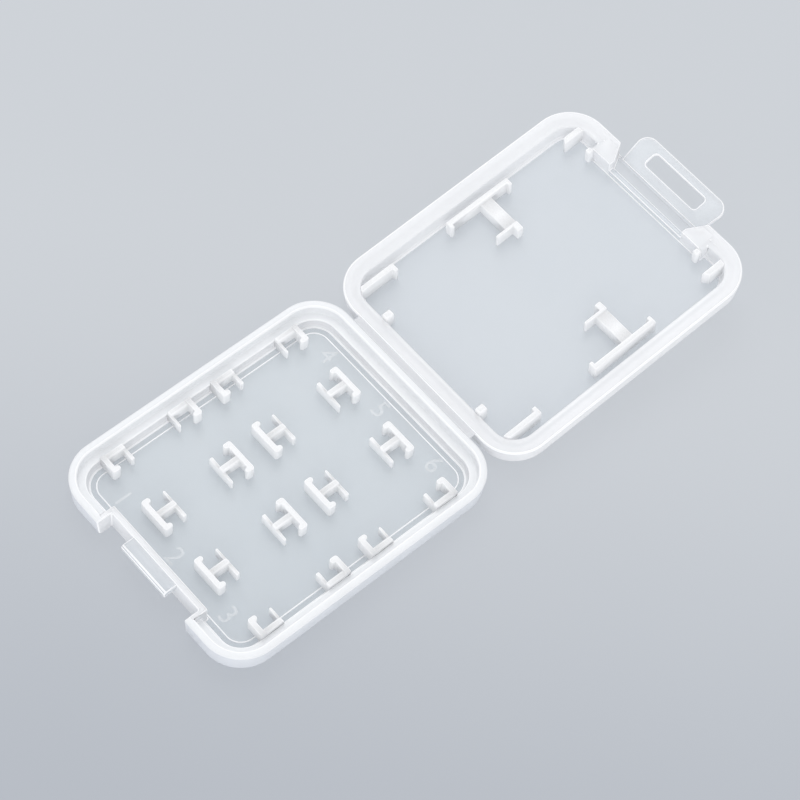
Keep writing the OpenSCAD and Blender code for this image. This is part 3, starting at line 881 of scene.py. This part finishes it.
# %% [markdown]
# ## Floor and light
# The case lies on a plain pale grey sheet. It was lit as in a light tent: a pale sky does most of
# the work, a broad lamp above the far corner gives the soft direction, and a low lamp on the near
# side lights the upright faces. The level is plain: a colour renders about as it is written. The
# sheet carries a painted shade that darkens it evenly towards the near side, where the light falls
# off. Most of the sheet's own colour is shown as it is to the camera as a painted glow, which keeps
# the shadows on it as faint as the tent makes them. To light that bounces off it the sheet is paler,
# as the walls of a tent are.

# %% Lay the floor
# The darker colour is a painted shade, the far end of a painted fall of the light across the sheet
SHEET_LIGHT, SHEET_PAINTED_SHADE, SHEET_TO_OTHER_LIGHT = "cbcfd4", "b1b6be", "f2f3f5"
SHADE_TURN, SHADE_FROM, SHADE_TO = 50, -0.06, 0.095
MOTTLE_SHARE, SHOWN_SHARE, SHOWN_LEVEL = 0.15, 0.78, 1.06


def floor_material():
    """A sheet with a painted shade that darkens it evenly across the picture towards the near side,
    with faint clouds in it.
    """
    material, tree = new_material("pale_grey_sheet")
    where = add_node(tree, "ShaderNodeTexCoord").outputs["Object"]
    turned = add_node(tree, "ShaderNodeMapping",
                      {"Vector": where, "Rotation": (0, 0, math.radians(SHADE_TURN))})
    parts = add_node(tree, "ShaderNodeSeparateXYZ", {"Vector": turned.outputs["Vector"]})
    # The painted shade: a share that grows towards the near side of the case
    painted_shade = add_node(tree, "ShaderNodeMapRange",
                     {"Value": parts.outputs["X"], "From Min": SHADE_FROM, "From Max": SHADE_TO},
                     interpolation_type="SMOOTHSTEP")
    mottle = add_node(tree, "ShaderNodeTexNoise", {"Vector": where, "Scale": 9.0, "Detail": 2.0})
    blend = add_node(tree, "ShaderNodeMix", {"Factor": MOTTLE_SHARE}, data_type="FLOAT")
    tree.links.new(painted_shade.outputs["Result"], blend.inputs[2])
    tree.links.new(mottle.outputs["Fac"], blend.inputs[3])
    colour = mixed_colour(tree, blend.outputs[0], SHEET_LIGHT, SHEET_PAINTED_SHADE)
    path = add_node(tree, "ShaderNodeLightPath")
    seen = path.outputs["Is Camera Ray"]
    for ray in ("Is Glossy Ray", "Is Transmission Ray"):
        either = add_node(tree, "ShaderNodeMath", {0: seen, 1: path.outputs[ray]},
                          operation="MAXIMUM")
        seen = either.outputs[0]
    lit = mixed_colour(tree, seen, SHEET_TO_OTHER_LIGHT, colour)
    shader = add_node(tree, "ShaderNodeBsdfPrincipled",
                      {"Base Color": lit, "Roughness": 0.7, "Specular IOR Level": 0.2})
    share = add_node(tree, "ShaderNodeMath", {0: seen, 1: SHOWN_SHARE}, operation="MULTIPLY")
    # A flat glow of the sheet's colour and its painted shade, seen by the camera: painted light that
    # lightens the real shadows
    plain = add_node(tree, "ShaderNodeEmission", {"Color": colour, "Strength": SHOWN_LEVEL})
    sheet = add_node(tree, "ShaderNodeMixShader", {0: share.outputs[0], 1: shader.outputs["BSDF"],
                                                   2: plain.outputs["Emission"]})
    add_node(tree, "ShaderNodeOutputMaterial", {"Surface": sheet.outputs["Shader"]})
    return material


SHEET_HALF, SHEET_BELOW = 1.5, 0.00005
bm = bmesh.new()
bmesh.ops.create_grid(bm, x_segments=8, y_segments=8, size=SHEET_HALF)
ground = as_object(bm, "ground")
ground.data.transform(Matrix.Translation((0, 0, -SHEET_BELOW)))
ground.data.materials.append(floor_material())
print("the sheet is", 2 * SHEET_HALF, "m wide")

# %% Set up the light
LAMPS_AIM_AT = Vector((0, 0.03, 0))
SKY_COLOUR, SKY_LEVEL = "f9fafc", 0.88


def lamp(name, place, size, watts):
    """A round white lamp that points at the middle of the case."""
    data = bpy.data.lights.new(name, "AREA")
    data.shape, data.size, data.energy = "DISK", size, watts
    made = bpy.data.objects.new(name, data)
    scene.collection.objects.link(made)
    turn = (LAMPS_AIM_AT - Vector(place)).to_track_quat("-Z", "Y")
    made.matrix_world = Matrix.Translation(place) @ turn.to_matrix().to_4x4()


lamp("key_lamp", (-0.5, 0.35, 0.75), 0.7, 2.0)
lamp("low_fill_lamp", (0.68, -0.62, 0.34), 0.8, 2.1)
world = bpy.data.worlds.new("pale_sky")
world.use_nodes = True
world.node_tree.nodes.clear()
sky = add_node(world.node_tree, "ShaderNodeBackground",
               {"Color": srgb(SKY_COLOUR), "Strength": SKY_LEVEL})
add_node(world.node_tree, "ShaderNodeOutputWorld", {"Surface": sky.outputs["Background"]})
scene.world = world
